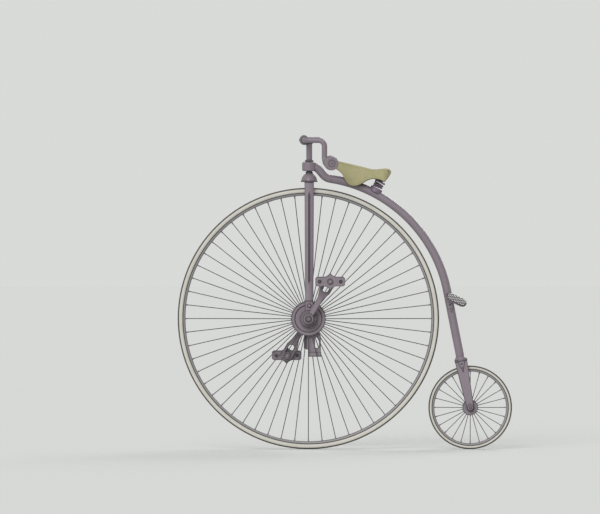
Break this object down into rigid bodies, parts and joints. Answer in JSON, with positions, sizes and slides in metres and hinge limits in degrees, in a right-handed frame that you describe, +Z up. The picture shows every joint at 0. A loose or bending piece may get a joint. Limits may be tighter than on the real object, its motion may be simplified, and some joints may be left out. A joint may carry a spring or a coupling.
{
  "type": "penny farthing bicycle",
  "caption": "High-wheel bicycle with a large driven front wheel, small rear wheel, curved backbone, leather saddle, bent handlebar, slotted cranks and hub lamp.",
  "frame": {"origin": "the rider's seat point on top of the saddle, on the middle plane", "axes": "+X forward, +Y to the rider's left along the wheel axles, +Z up"},
  "size_m": [1.6242, 0.7076, 1.5269],
  "materials": {
    "frame_enamel": "satin",
    "machined_steel": "satin",
    "rim_steel": "satin",
    "spoke_steel": "satin",
    "tyre_rubber": "matte",
    "saddle_leather": "satin",
    "spring_steel": "satin",
    "pedal_rubber": "matte",
    "grip_horn": "satin",
    "lamp_glass": "clear"
  },
  "bodies": {
    "backbone": {"backbone_tube": "frame_enamel", "head_neck": "frame_enamel", "rear_fork_socket": "frame_enamel", "rear_fork_left": "frame_enamel", "rear_fork_right": "frame_enamel", "rear_axle": "machined_steel", "rear_axle_nuts": "machined_steel", "saddle_leather": "saddle_leather", "saddle_frame": "spring_steel", "saddle_clip": "spring_steel", "saddle_spring": "spring_steel", "spring_seat": "spring_steel", "step": "frame_enamel"},
    "front_fork": {"fork_crown": "frame_enamel", "fork_blade_left": "frame_enamel", "fork_blade_right": "frame_enamel", "steering_column": "frame_enamel", "handlebar_lug": "frame_enamel", "handlebar": "frame_enamel", "grip_left": "grip_horn", "grip_right": "grip_horn", "bearing_case_left": "frame_enamel", "bearing_case_right": "frame_enamel", "bearing_bolts": "machined_steel"},
    "front_wheel": {"front_tyre": "tyre_rubber", "front_rim": "rim_steel", "front_spokes": "spoke_steel", "front_hub": "frame_enamel", "front_axle": "machined_steel", "crank_left": "frame_enamel", "crank_right": "frame_enamel", "crank_nuts": "machined_steel", "pedal_pin_left": "machined_steel", "pedal_pin_right": "machined_steel"},
    "pedal_left": {"pedal_cage_left": "frame_enamel", "pedal_rubbers_left": "pedal_rubber"},
    "pedal_right": {"pedal_cage_right": "frame_enamel", "pedal_rubbers_right": "pedal_rubber"},
    "rear_wheel": {"rear_tyre": "tyre_rubber", "rear_rim": "rim_steel", "rear_spokes": "spoke_steel", "rear_hub": "frame_enamel"},
    "hub_lamp": {"lamp_body": "frame_enamel", "lamp_lens": "lamp_glass", "lamp_hanger": "frame_enamel"}
  },
  "joints": [
    {"name": "steering", "type": "hinge", "parent": "backbone", "child": "front_fork", "pos_m": [0.314, 0, 0.016], "axis": [0, 0, 1], "range_deg": [-45, 45]},
    {"name": "front_wheel_spin", "type": "hinge", "parent": "front_fork", "child": "front_wheel", "pos_m": [0.318, 0, -0.722], "axis": [0, 1, 0], "continuous": true},
    {"name": "pedal_left_spin", "type": "hinge", "parent": "front_wheel", "child": "pedal_left", "pos_m": [0.2125, 0.104, -0.53927], "axis": [0, 1, 0], "continuous": true},
    {"name": "pedal_right_spin", "type": "hinge", "parent": "front_wheel", "child": "pedal_right", "pos_m": [0.4235, -0.104, -0.90473], "axis": [0, 1, 0], "continuous": true},
    {"name": "rear_wheel_spin", "type": "hinge", "parent": "backbone", "child": "rear_wheel", "pos_m": [-0.468, 0, -1.1538], "axis": [0, 1, 0], "continuous": true},
    {"name": "lamp_swing", "type": "hinge", "parent": "front_fork", "child": "hub_lamp", "pos_m": [0.318, 0, -0.722], "axis": [0, 1, 0], "range_deg": [-25, 25]}
  ]
}
